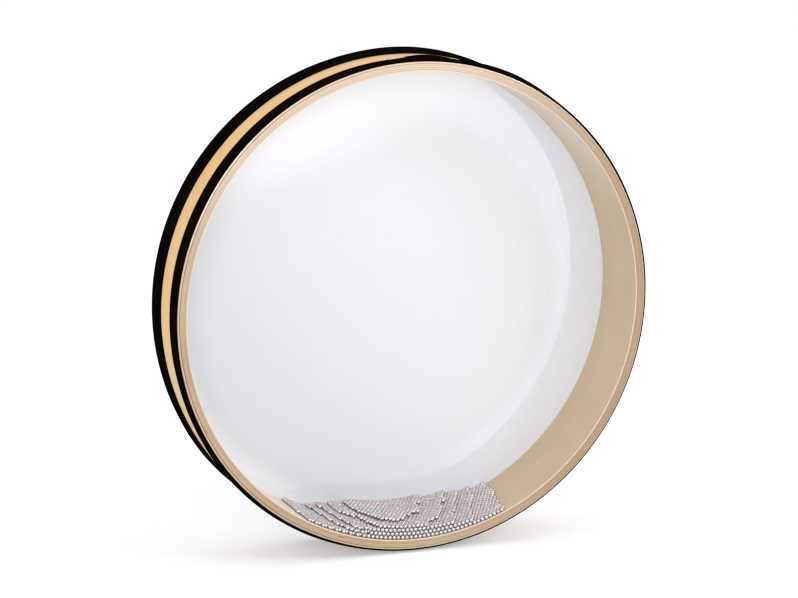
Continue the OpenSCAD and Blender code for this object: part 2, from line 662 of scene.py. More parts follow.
@dataclass(frozen=True)
class RingPart:
    """A soft part of a ring on a head, between two radii and towards one side."""

    radii: Span
    across: Span
    share: float

    def mask(self, graph: Graph, place: Place) -> Socket:
        """Work out where the part shows.

        Args:
            graph: The material's graph.
            place: The place on the surface.

        Returns:
            How strongly it shows.
        """
        ring = graph.spread(place.radius, *self.radii, 0.0, self.share)
        return graph.math("MULTIPLY", ring, graph.spread(place.x, *self.across))


@dataclass(frozen=True)
class WhiteFilmFinish(Finish):
    """Glossy white film that mirrors the shot and the wall.

    Seen through the drum it carries painted shade to the lower left, painted light at the top and along its
    left rim, and a painted cool reflection along its right rim. Its outer face, at outer_y, is plain.
    """

    plain: Colour
    # The shade, pale and cool tones are painted shade, painted light and a painted cool reflection.
    shade: Colour
    pale: Colour
    painted_cool_reflection: Colour
    outer_y: float
    outer_skin: float = 0.1 * MM

    shade_slopes: Span = (-0.85, -0.35)
    shade_from_to: Span = (-0.06, 0.17)
    cloud: float = 0.3
    top_slope: float = 0.9
    right_drop: float = 0.1
    left_drop: float = 0.3
    top_from_to: Span = (0.085, 0.155)
    lit_left_rim: RingPart = RingPart((0.15, 0.174), (0.05, -0.1), 0.75)
    cool_reflection_rim: RingPart = RingPart((0.125, 0.14), (0.02, 0.08), 0.32)

    smooth: float = 0.02
    hazy: float = 0.05
    haze_scale: float = 9.0
    haze_depth: float = 0.02 * MM
    haze_strength: float = 0.4
    index: float = 1.65
    coat_index: float = 1.75
    coat_roughness: float = 0.03

    def shaded(self, graph: Graph, place: Place, patches: Socket) -> Socket:
        """Work out the painted shade to the lower left, which is a little cloudy.

        Args:
            graph: The material's graph.
            place: The place on the surface.
            patches: The film's uneven patches, from 0 to 1.

        Returns:
            How strong the shade is.
        """
        across, up = self.shade_slopes
        leftwards = graph.math("MULTIPLY", place.x, across)
        slope = graph.math("ADD", leftwards, graph.math("MULTIPLY", place.z, up))
        clouds = graph.math("MULTIPLY", graph.math("SUBTRACT", patches, 0.5), self.cloud)
        return graph.math("ADD", graph.spread(slope, *self.shade_from_to), clouds, clamp=True)

    def painted_light(self, graph: Graph, place: Place) -> Socket:
        """Work out where painted light makes the film paler: at the top and along the left rim.

        Args:
            graph: The material's graph.
            place: The place on the surface.

        Returns:
            How pale it is.
        """
        on_the_right = graph.math("MULTIPLY", place.x, self.right_drop)
        on_the_left = graph.math("MULTIPLY", place.x, self.left_drop)
        drop = graph.math("MINIMUM", on_the_right, on_the_left)
        height = graph.math("SUBTRACT", graph.math("MULTIPLY", place.z, self.top_slope), drop)
        top = graph.spread(height, *self.top_from_to)
        return graph.math("MAXIMUM", top, self.lit_left_rim.mask(graph, place))

    def material(self, haze: EffectGroup) -> bpy.types.Material:
        """Make the material.

        Args:
            haze: The shared haze of films.

        Returns:
            The white film's material.
        """
        material, graph, shader = self.start()
        gloss = haze.into(graph, Smooth=self.smooth, Hazy=self.hazy, Scale=self.haze_scale)
        patches = gloss.outputs["Height"]
        place = graph.place()
        inside = graph.math("LESS_THAN", place.y, self.outer_y - self.outer_skin)
        colour = self.plain
        # Painted shade, a painted cool reflection and painted light, on the inner face only.
        for mask, tone in (
            (self.shaded(graph, place, patches), self.shade),
            (self.cool_reflection_rim.mask(graph, place), self.painted_cool_reflection),
            (self.painted_light(graph, place), self.pale),
        ):
            colour = graph.mix(graph.math("MULTIPLY", mask, inside), colour, tone)
        graph.put(colour, shader.inputs["Base Color"])
        graph.put(gloss.outputs["Roughness"], shader.inputs["Roughness"])
        shader.inputs["IOR"].default_value = self.index
        shader.inputs["Coat Weight"].default_value = 1.0
        shader.inputs["Coat IOR"].default_value = self.coat_index
        shader.inputs["Coat Roughness"].default_value = self.coat_roughness
        graph.put(graph.bump(patches, self.haze_depth, self.haze_strength), shader.inputs["Normal"])
        return material


@dataclass(frozen=True)
class ClearFilmFinish(Finish):
    """Clear film: each of its two faces mirrors a little, more at a slant, and lets the rest through.

    Where it is glued to the shell, from bond_from outwards, it is duller, with a painted glare towards the
    top.
    """

    colour: Colour
    bond_from: float
    bond_fade: Span = (-0.1 * MM, 0.2 * MM)
    bond_gloss: float = 0.05
    bond_glare: float = 0.06
    glare_leans: Span = (0.1, 1.1)
    tilt: float = 0.3
    index: float = 1.36
    smooth: float = 0.02
    hazy: float = 0.06
    haze_scale: float = 11.0

    def mirror(self, graph: Graph) -> Socket:
        """Work out how much of the light each face of the film mirrors.

        Args:
            graph: The material's graph.

        Returns:
            The mirrored share.
        """
        fresnel = graph.add("ShaderNodeFresnel")
        # A ray leaves the film as slanted as it came, so the face that it meets from within takes the
        # index upside down, and no slant makes the film a full mirror.
        behind = graph.add("ShaderNodeNewGeometry").outputs["Backfacing"]
        sense = graph.math("SUBTRACT", 1.0, graph.math("MULTIPLY", behind, 2.0))
        graph.put(graph.math("POWER", self.index, sense), fresnel.inputs["IOR"])
        return fresnel.outputs[0]

    def material(self, haze: EffectGroup) -> bpy.types.Material:
        """Make the material.

        Args:
            haze: The shared haze of films.

        Returns:
            The clear film's material.
        """
        material, graph, shader = self.start()
        gloss = haze.into(graph, Smooth=self.smooth, Hazy=self.hazy, Scale=self.haze_scale)
        shader.inputs["Base Color"].default_value = (*self.colour, 1.0)
        shader.inputs["Metallic"].default_value = 1.0
        graph.put(gloss.outputs["Roughness"], shader.inputs["Roughness"])
        place = graph.place()
        bonded = graph.spread(place.radius, *(self.bond_from + reach for reach in self.bond_fade))
        # Painted glare: where bonded, the film mirrors more towards the top.
        glare_by_height = graph.spread(graph.lean(place, self.tilt), *self.glare_leans, 0.0, self.bond_glare)
        glare = graph.math("MULTIPLY", bonded, glare_by_height)
        dull = graph.math("SUBTRACT", 1.0, graph.math("MULTIPLY", bonded, 1.0 - self.bond_gloss))
        mirror = graph.math("MULTIPLY", self.mirror(graph), dull)
        graph.put(graph.math("ADD", mirror, glare, clamp=True), shader.inputs["Alpha"])
        return material


@dataclass(frozen=True)
class SteelFinish(Finish):
    """Bright steel of the shot, in light and dark patches, with painted shade next to the clear head."""

    light: Colour
    dark: Colour
    shade_by_the_head: Colour
    head_from: float
    head_fade: float = 3.0 * MM
    patch_scale: float = 210.0
    tone_band: Span = (0.35, 0.65)
    rough_band: Span = (0.3, 0.7)
    roughness: Span = (0.26, 0.36)

    def material(self) -> bpy.types.Material:
        """Make the material.

        Returns:
            The shot's material.
        """
        material, graph, shader = self.start()
        place = graph.place()
        patches = graph.noise(graph.combine(place.x, place.y, place.z), self.patch_scale, detail=1.0)
        colour = graph.mix(graph.spread(patches, *self.tone_band), self.light, self.dark)
        # Painted shade: the balls next to the clear head are darker.
        near = graph.spread(place.y, self.head_from, self.head_from - self.head_fade)
        graph.put(graph.mix(near, colour, self.shade_by_the_head), shader.inputs["Base Color"])
        graph.put(graph.spread(patches, *self.rough_band, *self.roughness), shader.inputs["Roughness"])
        shader.inputs["Metallic"].default_value = 1.0
        return material


def dress(node: str, material: bpy.types.Material) -> None:
    """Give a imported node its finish.

    Args:
        node: The node's name.
        material: The material that it gets.
    """
    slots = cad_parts[node].data.materials
    slots.clear()
    slots.append(material)


def radii(node: str) -> Span:
    """Measure how near a node comes to the drum's axis and how far it reaches.

    Args:
        node: The node's name.

    Returns:
        The least and the greatest distance from the axis, in metres.
    """
    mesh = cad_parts[node].data
    points = np.empty(len(mesh.vertices) * 3)
    mesh.vertices.foreach_get("co", points)
    points = points.reshape(-1, 3)
    away = np.hypot(points[:, 0], points[:, 2])
    return float(away.min()), float(away.max())


def mesh_piece(
    name: str, points: np.ndarray, faces: list, body: Body, material: bpy.types.Material
) -> bpy.types.Object:
    """Make a smooth mesh that rides on a body.

    Args:
        name: The piece's name.
        points: Its corners in metres.
        faces: The corners of each face.
        body: The body that it moves with.
        material: Its material.

    Returns:
        The new object.
    """
    mesh = bpy.data.meshes.new(name)
    mesh.from_pydata(points.tolist(), [], faces)
    mesh.polygons.foreach_set("use_smooth", [True] * len(mesh.polygons))
    mesh.materials.append(material)
    mesh.update()
    piece = bpy.data.objects.new(name, mesh)
    bpy.context.scene.collection.objects.link(piece)
    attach(piece, body.value)
    return piece


@dataclass
class Shell:
    """The wooden shell: five plies, each with its own tone, and a glue line between each two."""

    figure: EffectGroup
    stain: EffectGroup
    plies: tuple[str, ...] = (
        "shell_outer_ply", "shell_second_ply", "shell_middle_ply", "shell_fourth_ply", "shell_inner_ply"
    )

    def glue_lines(self) -> list[float]:
        """Measure where the plies meet.

        Returns:
            The radius of each glue line, from the outside in.
        """
        pairs = zip(self.plies, self.plies[1:])
        return [(radii(inner)[1] + radii(outer)[0]) / 2 for outer, inner in pairs]

    def finishes(self) -> tuple[VeneerFinish, ...]:
        """Work out each ply's finish, with its stains where the plies meet.

        Returns:
            The finishes, in the order of the plies.
        """
        first, second, third, fourth = self.glue_lines()
        brown = srgb(124, 76, 40)
        tan = srgb(172, 142, 112)
        rose = srgb(184, 143, 116)
        # Besides their tones, the edges carry painted light at the top and painted shade on the right, and
        # the inner wall painted light.
        return (
            VeneerFinish(
                "golden_veneer", light=srgb(228, 187, 114), dark=srgb(210, 161, 84),
                along=2.2, across=700.0, contrast=2.0, roughness=0.42, lacquer=0.25,
                edge=srgb(184, 166, 140), stain=brown, stain_radii=(first,), stain_width=0.45 * MM,
            ),
            VeneerFinish(
                "second_veneer", light=srgb(181, 162, 138), dark=srgb(160, 137, 108),
                stain=brown, stain_radii=(first,), stain_width=0.75 * MM,
            ),
            VeneerFinish(
                "middle_veneer", light=srgb(184, 164, 139), dark=srgb(166, 141, 112),
                stain=tan, stain_radii=(second, third),
            ),
            VeneerFinish(
                "fourth_veneer", light=srgb(177, 154, 129), dark=srgb(160, 132, 104),
                stain=tan, stain_radii=(third, fourth),
            ),
            VeneerFinish(
                "inner_veneer", light=srgb(209, 187, 151), dark=srgb(188, 163, 124),
                along=2.0, across=420.0, contrast=1.6, roughness=0.45,
                edge=srgb(180, 159, 132), wall=srgb(236, 219, 203), worn_from=radii(self.plies[-1])[0],
                stain=rose, stain_radii=(fourth,), stain_width=0.5 * MM,
            ),
        )

    def build(self) -> None:
        """Dress the plies."""
        for node, finish in zip(self.plies, self.finishes()):
            dress(node, finish.material(self.figure, self.stain))
            log.info("%s has %s", node, finish.name)


@dataclass
class Heads:
    """The two film heads. The clear one is made anew, just clear of the wood that shows through it."""

    haze: EffectGroup
    segments: int = 240
    edge_steps: int = 8
    wood_clearance: float = 0.04 * MM

    def rounded(self, r: float, y: float, rounding: float) -> list[Point]:
        """Round the film's turn over the edge.

        Args:
            r: The collar's radius.
            y: Where the film's flat face lies.
            rounding: The radius of the turn.

        Returns:
            Pairs of the radius and y, from the flat face to the collar.
        """
        points = []
        for step in range(self.edge_steps + 1):
            turn = math.pi / 2 * step / self.edge_steps
            points.append((r - rounding * (1 - math.sin(turn)), y + rounding * (1 - math.cos(turn))))
        return points

    def clear_profile(self) -> list[Point]:
        """Draw the clear head's section: out along its outer face, and back along its inner face.

        Returns:
            Pairs of the radius and y.
        """
        low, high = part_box("front_head")
        wood_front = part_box("shell_outer_ply")[0].y
        outer_r = high.x
        inner_r = outer_r - (wood_front - low.y)
        inner_y = wood_front - self.wood_clearance
        outside = self.rounded(outer_r, low.y, EDGE_ROUND)
        inside = self.rounded(inner_r, inner_y, EDGE_ROUND - (inner_y - low.y))
        return outside + [(outer_r, high.y), (inner_r, high.y)] + inside[::-1]

    def clear_head(self) -> bpy.types.Object:
        """Turn the clear head's section round the axis.

        Returns:
            The new piece.
        """
        profile = self.clear_profile()
        count = self.segments
        turns = np.arange(count) * (math.tau / count)
        cosines, sines = np.cos(turns), np.sin(turns)
        rings = [np.stack([r * cosines, np.full(count, y), r * sines], axis=1) for r, y in profile]
        poles = [(0.0, profile[0][1], 0.0), (0.0, profile[-1][1], 0.0)]
        points = np.vstack(rings + [np.array(poles)])
        outer_pole = len(profile) * count
        inner_pole = outer_pole + 1
        last = outer_pole - count
        faces = []
        for i in range(count):
            j = (i + 1) % count
            for a in range(0, last, count):
                b = a + count
                faces.append((a + i, a + j, b + j, b + i))
            faces.append((outer_pole, j, i))
            faces.append((inner_pole, last + i, last + j))
        finish = ClearFilmFinish("clear_film", srgb(250, 252, 255), bond_from=radii("shell_inner_ply")[0])
        material = finish.material(self.haze)
        piece = mesh_piece("clear_head", points, faces, Body.DRUM, material)
        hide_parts("front_head")
        return piece

    def build(self) -> None:
        """Make the clear head and dress the white one."""
        piece = self.clear_head()
        log.info("%s stands for front_head", piece.name)
        # The white film's shade, pale and cool tones are painted shade, light and reflection.
        white = WhiteFilmFinish(
            "white_film", plain=srgb(206, 207, 212), shade=srgb(187, 190, 197), pale=srgb(240, 241, 247),
            painted_cool_reflection=srgb(224, 234, 254), outer_y=cad_box[1][1],
        )
        dress("rear_head", white.material(self.haze))
        log.info("rear_head has %s", white.name)


@dataclass(frozen=True)
class Lift:
    """A stretch where a tape stands off the wall, over a lap or a loose fold. Its angles are in degrees."""

    middle: float
    half_length: float
    height: float

    def at(self, degrees: float) -> float:
        """Work out how far the tape is lifted.

        Args:
            degrees: The angle round the drum, from the right end over the top.

        Returns:
            The lift in metres.
        """
        away = abs((degrees - self.middle + 180.0) % 360.0 - 180.0) / self.half_length
        return self.height * (0.5 + 0.5 * math.cos(math.pi * away)) if away < 1.0 else 0.0


@dataclass(frozen=True)
class TapeBed:
    """What a tape lies on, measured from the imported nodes.

    Depths are distances from the drum's face at face_y, and side is 1 at the back and -1 at the front.
    """

    side: int
    face_y: float
    tape_depth: float
    collar_depth: float
    collar_r: float
    wall_r: float
    bridge: float = 3.0 * MM
    adhesive: float = 0.03 * MM

    @classmethod
    def measure(cls, node: str, head: str) -> "TapeBed":
        """Measure the bed of one tape.

        Args:
            node: The tape's node.
            head: The node of the head whose collar it covers.

        Returns:
            The bed.
        """
        low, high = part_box(node)
        head_low, head_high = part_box(head)
        side = 1 if low.y > 0 else -1
        face_y = cad_box[1][1] if side > 0 else cad_box[0][1]
        tape_depth = max(abs(face_y - low.y), abs(face_y - high.y))
        wall_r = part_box("shell_outer_ply")[1].x
        return cls(side, face_y, tape_depth, head_high.y - head_low.y, head_high.x, wall_r)

    def y(self, depth: float) -> float:
        """Turn a depth into a place along the drum's axis."""
        return self.face_y - self.side * depth

    def radius(self, depth: float) -> float:
        """Work out the radius of what the tape lies on: the head's rounded edge, its collar, then the wall.

        Args:
            depth: The distance from the drum's face. The cloth bridges the step at the collar's end.

        Returns:
            The radius in metres.
        """
        down = eased((depth - self.collar_depth + self.bridge / 2) / self.bridge)
        back = max(EDGE_ROUND - depth, 0.0)
        corner = EDGE_ROUND - math.sqrt(EDGE_ROUND**2 - back**2)
        return self.collar_r + (self.wall_r - self.collar_r) * down - corner + self.adhesive


@dataclass(frozen=True)
class TapeBand:
    """One cloth tape: the node that it stands for, its lap and its loose stretches.

    Its lap, gap and tuck are angles in degrees. Waves and ribs are counted in one radian. A thread's
    stations are places along it and its thickness there, as shares, and its length and stray are in
    millimetres.
    """

    name: str
    node: str
    bed: TapeBed
    seed: float
    thread_seed: int
    lap_at: float
    lap_length: float
    lifts: tuple[Lift, ...]
    loose_edge: float

    cloth: float = 0.38 * MM
    cloth_gap: float = 0.02 * MM
    bumps: float = 9.0
    bump_height: float = 0.1 * MM

    edge_wave: float = 0.32 * MM
    slow_waves: float = 4.0
    slow_share: float = 0.7
    quick_waves: float = 26.0
    quick_share: float = 0.5
    quick_plane: float = 5.0
    ribs: float = 430.0
    rib_depth: float = 0.05 * MM
    near_edge: float = 0.26 * MM
    near_share: float = 0.2
    askew: float = 0.3 * MM
    askew_at: float = 150.0

    stations: int = 16
    crowding: float = 1.5
    belly_share: float = 1 / 2.4
    fall_share: float = 0.45
    soft_edge: float = 0.9 * MM
    soft_drop: float = 0.22 * MM

    turns: int = 1200
    end_gap: float = 0.02
    lap_steps: int = 40
    lap_tuck: float = 0.35
    climb_share: float = 0.06

    threads: int = 26
    thread_r: float = 0.11 * MM
    thread_sides: tuple[Point, ...] = ((1, 0), (0, 1), (-1, 0), (0, -1))
    thread_stations: tuple[Point, ...] = ((-0.6, 1.0), (0.5, 1.0), (1.0, 0.4))
    thread_lengths: Span = (0.4, 1.8)
    thread_stray: float = 0.35
    thread_curl: float = 0.25 * MM

    def lift(self, degrees: float) -> float:
        """Add up the lifts at an angle, and the small bumps in the cloth.

        Args:
            degrees: The angle round the drum.

        Returns:
            How far the tape stands off, in metres.
        """
        along = Vector((math.radians(degrees) * self.bumps, self.seed, 2.0))
        return sum(lift.at(degrees) for lift in self.lifts) + abs(self.bump_height * noise.noise(along))

    def edges(self, degrees: float) -> Span:
        """Work out where the tape's two edges lie.

        Args:
            degrees: The angle round the drum.

        Returns:
            The depths of the near and the far edge, in metres.
        """
        turn = math.radians(degrees)
        circle = Vector((math.cos(turn), math.sin(turn), self.seed))
        slow = noise.noise(circle * self.slow_waves)
        quick = noise.noise(circle * self.quick_waves + Vector((0.0, 0.0, self.quick_plane)))
        rib = self.rib_depth * math.sin(self.ribs * turn)
        wave = self.edge_wave * (self.slow_share * slow + self.quick_share * quick)
        far = self.bed.tape_depth + wave + rib
        back = self.askew * (0.5 + 0.5 * math.cos(turn - math.radians(self.askew_at))) ** 3
        return self.near_edge + back + self.near_share * self.edge_wave * slow, far

    def section(self, degrees: float, under: float) -> list[Point]:
        """Draw the tape's section at an angle.

        Args:
            degrees: The angle round the drum.
            under: How much lies between the wall and the cloth.

        Returns:
            Pairs of the radius and y, outside first and then back along the inside.
        """
        near, far = self.edges(degrees)
        lift = self.lift(degrees)
        outside, inside = [], []
        for station in range(self.stations + 1):
            share = (station / self.stations) ** self.crowding
            depth = near + (far - near) * share
            fall = max((share - (1 - self.fall_share)) / self.fall_share, 0.0)
            belly = math.sin(min(share / self.belly_share, 1.0) * math.pi / 2)
            belly *= 1 - (1 - self.loose_edge) * fall * fall
            rim = min(share, 1 - share) * (far - near)
            soft = self.soft_drop * (1 - min(rim / self.soft_edge, 1.0)) ** 2
            radius = self.bed.radius(depth) + under + lift * belly
            outside.append((radius + self.cloth - soft, self.bed.y(depth)))
            inside.append((radius, self.bed.y(depth)))
        return outside + inside[::-1]

    def strip(self, first: float, last: float, steps: int, under: float, climb: float) -> tuple[list, list]:
        """Lay a length of tape round the wall, with closed ends.

        Args:
            first: The angle where it starts.
            last: The angle where it ends.
            steps: How many pieces it is cut into.
            under: How much lies under it along most of it.
            climb: The share of its length over which it climbs to that.

        Returns:
            The corners and the faces.
        """
        points, faces = [], []
        for step in range(steps + 1):
            share = step / steps
            degrees = first + (last - first) * share
            turn = math.radians(degrees)
            ring = self.section(degrees, under * eased(share / climb))
            points += [(radius * math.cos(turn), y, radius * math.sin(turn)) for radius, y in ring]
        count = len(points) // (steps + 1)
        for step in range(steps):
            here, there = step * count, (step + 1) * count
            for k in range(count):
                after = (k + 1) % count
                face = (here + k, here + after, there + after, there + k)
                faces.append(face if self.bed.side > 0 else face[::-1])
        start, end = list(range(count)), [steps * count + k for k in range(count)]
        for ring, turned in ((start, self.bed.side > 0), (end, self.bed.side < 0)):
            for k in range(count // 2 - 1):
                face = (ring[k], ring[k + 1], ring[count - 2 - k], ring[count - 1 - k])
                faces.append(face[::-1] if turned else face)
        return points, faces

    def frayed_end(self, degrees: float, under: float) -> tuple[list, list]:
        """Make the loose threads at the tape's cut end, each a tapered length that curls outwards.

        Args:
            degrees: The angle of the end.
            under: How much lies under the cloth there.

        Returns:
            The corners and the faces.
        """
        chance = np.random.default_rng(self.thread_seed)
        near, far = self.edges(degrees)
        sides = len(self.thread_sides)
        points, faces = [], []
        for thread in range(self.threads):
            depth = near + (far - near) * (thread + 0.5) / self.threads
            length = chance.uniform(*self.thread_lengths) * MM
            stray = chance.normal(0.0, self.thread_stray) * MM
            middle_r = self.bed.radius(depth) + under + self.lift(degrees) + self.cloth / 2
            start = len(points)
            for share, width in self.thread_stations:
                out = max(share, 0.0)
                turn = math.radians(degrees) + share * length / middle_r
                y = self.bed.y(depth) + stray * out
                for outwards, along in self.thread_sides:
                    radius = middle_r + self.thread_curl * out**2 + self.thread_r * width * outwards
                    side_y = y + self.thread_r * width * along
                    points.append((radius * math.cos(turn), side_y, radius * math.sin(turn)))
            tip = len(points) - sides
            for ring in range(start, tip, sides):
                for k in range(sides):
                    a, b = ring + k, ring + (k + 1) % sides
                    faces.append((a, b, b + sides, a + sides))
            faces.append(tuple(range(start, start + sides))[::-1])
            faces.append(tuple(range(tip, tip + sides)))
        return points, faces

    def build(self, material: bpy.types.Material) -> bpy.types.Object:
        """Make the tape in place of its node.

        Args:
            material: The tape's material.

        Returns:
            The new piece.
        """
        start, end = self.lap_at, self.lap_at + self.lap_length
        over = self.cloth + self.cloth_gap
        points: list = []
        faces: list = []
        for part_points, part_faces in (
            self.strip(start + self.end_gap, start + 360.0 - self.end_gap, self.turns, 0.0, 1.0),
            self.strip(start - self.lap_tuck, end, self.lap_steps, over, self.climb_share),
            self.frayed_end(end, over),
        ):
            faces += [tuple(corner + len(points) for corner in face) for face in part_faces]
            points += part_points
        piece = mesh_piece(self.name, np.array(points), faces, Body.DRUM, material)
        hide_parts(self.node)
        return piece


@dataclass
class Tapes:
    """The two cloth tapes, laid by hand: wavy edges, a lap with a frayed end, and loose stretches."""

    front_lifts: tuple[Lift, ...] = (
        Lift(227.0, 36.0, 1.9 * MM),
        Lift(266.0, 46.0, 1.8 * MM),
        Lift(302.0, 34.0, 0.7 * MM),
        Lift(345.0, 70.0, 0.45 * MM),
        Lift(28.0, 60.0, 1.9 * MM),
        Lift(85.5, 8.0, 1.7 * MM),
        Lift(67.0, 18.5, 2.0 * MM),
    )
    rear_lifts: tuple[Lift, ...] = (
        Lift(110.0, 80.0, 1.7 * MM),
        Lift(84.0, 24.0, 1.2 * MM),
        Lift(213.0, 24.0, 1.3 * MM),
    )

    def bands(self) -> tuple[TapeBand, ...]:
        """Lay out both tapes.

        Returns:
            The front and the rear band.
        """
        return (
            TapeBand(
                "front_cloth_tape", "front_tape", TapeBed.measure("front_tape", "front_head"),
                seed=1.3, thread_seed=16, lap_at=80.5, lap_length=10.0,
                lifts=self.front_lifts, loose_edge=1.0,
            ),
            TapeBand(
                "rear_cloth_tape", "rear_tape", TapeBed.measure("rear_tape", "rear_head"),
                seed=6.1, thread_seed=64, lap_at=300.0, lap_length=9.0,
                lifts=self.rear_lifts, loose_edge=0.1,
            ),
        )

    def build(self) -> None:
        """Make both tapes with one woven finish."""
        finish = ClothTapeFinish("black_cloth_tape", ground=srgb(2, 1, 1), fibre_and_sheen=srgb(35, 29, 23))
        material = finish.material()
        for band in self.bands():
            piece = band.build(material)
            log.info("%s stands for %s", piece.name, band.node)


@dataclass(frozen=True)
class Terrace:
    """Where one row of the heap ends on its left and its right, at places along the drum's axis.

    Each end is a pair of the place along the axis and the reach across the drum, in millimetres.
    """

    left: tuple[Point, ...]
    right: tuple[Point, ...]
    front_room: float = 1.0 * MM
    left_share: float = 0.3

    @staticmethod
    def reach(ends: tuple[Point, ...], y: float) -> float:
        """Work out how far the row reaches on one side.

        Args:
            ends: The side's ends.
            y: The place along the axis, in metres.

        Returns:
            The reach across the drum, in metres.
        """
        places, reaches = zip(*ends)
        return float(np.interp(y / MM, places, reaches)) * MM

    def holds(self, x: float, y: float, wander: float) -> bool:
        """Tell whether a ball belongs to the row.

        Args:
            x: The ball's place across the drum, in metres.
            y: Its place along the axis.
            wander: How far the row's right end wanders outwards there. The left one has a share of it.

        Returns:
            Whether it lies between the row's ends.
        """
        if y < min(self.left[0][0], self.right[0][0]) * MM - self.front_room:
            return False
        left_end = self.reach(self.left, y) - self.left_share * wander
        return left_end <= x <= self.reach(self.right, y) + wander


TERRACES = (
    Terrace(
        ((-30.0, -81.6), (-12.0, -83.2), (7.0, -82.7), (29.0, -80.6)),
        ((-30.0, 69.4), (-17.0, 69.4), (-7.0, 72.3), (14.0, 76.0), (29.0, 75.7)),
    ),
    Terrace(
        ((-30.0, -47.0), (-26.0, -50.8), (-17.0, -57.7), (4.5, -60.8), (29.0, -65.0)),
        ((-30.0, 45.5), (-24.0, 47.2), (-8.0, 51.7), (17.0, 61.9), (29.0, 65.0)),
    ),
    Terrace(
        ((-30.0, -44.5), (-21.0, -48.8), (-3.0, -52.0), (29.0, -56.9)),
        ((-30.0, 31.0), (-22.0, 33.5), (-10.0, 36.5), (-3.0, 41.3), (9.5, 45.4), (15.0, 48.8), (29.0, 53.0)),
    ),
    Terrace(
        ((-30.0, -29.0), (-18.0, -33.1), (-10.0, -35.9), (-2.0, -41.9), (1.0, -47.5), (29.0, -48.8)),
        ((-30.0, 8.0), (-24.0, 12.6), (-22.0, 17.9), (-8.5, 28.1), (5.0, 32.5), (15.0, 39.1), (29.0, 43.0)),
    ),
    Terrace(
        ((-22.0, -12.0), (-18.0, -24.9), (-5.0, -30.3), (5.0, -33.7), (16.0, -36.9), (30.0, -37.2)),
        ((-22.0, -10.0), (-20.0, -8.0), (-7.0, 5.7), (-5.0, 11.3), (10.5, 15.6), (24.0, 21.9)),
    ),
)


class Seat(NamedTuple):
    """A ball's place: its row, its angle from straight down, its distance from the axis, and its y."""

    row: int
    angle: float
    radius: float
    y: float


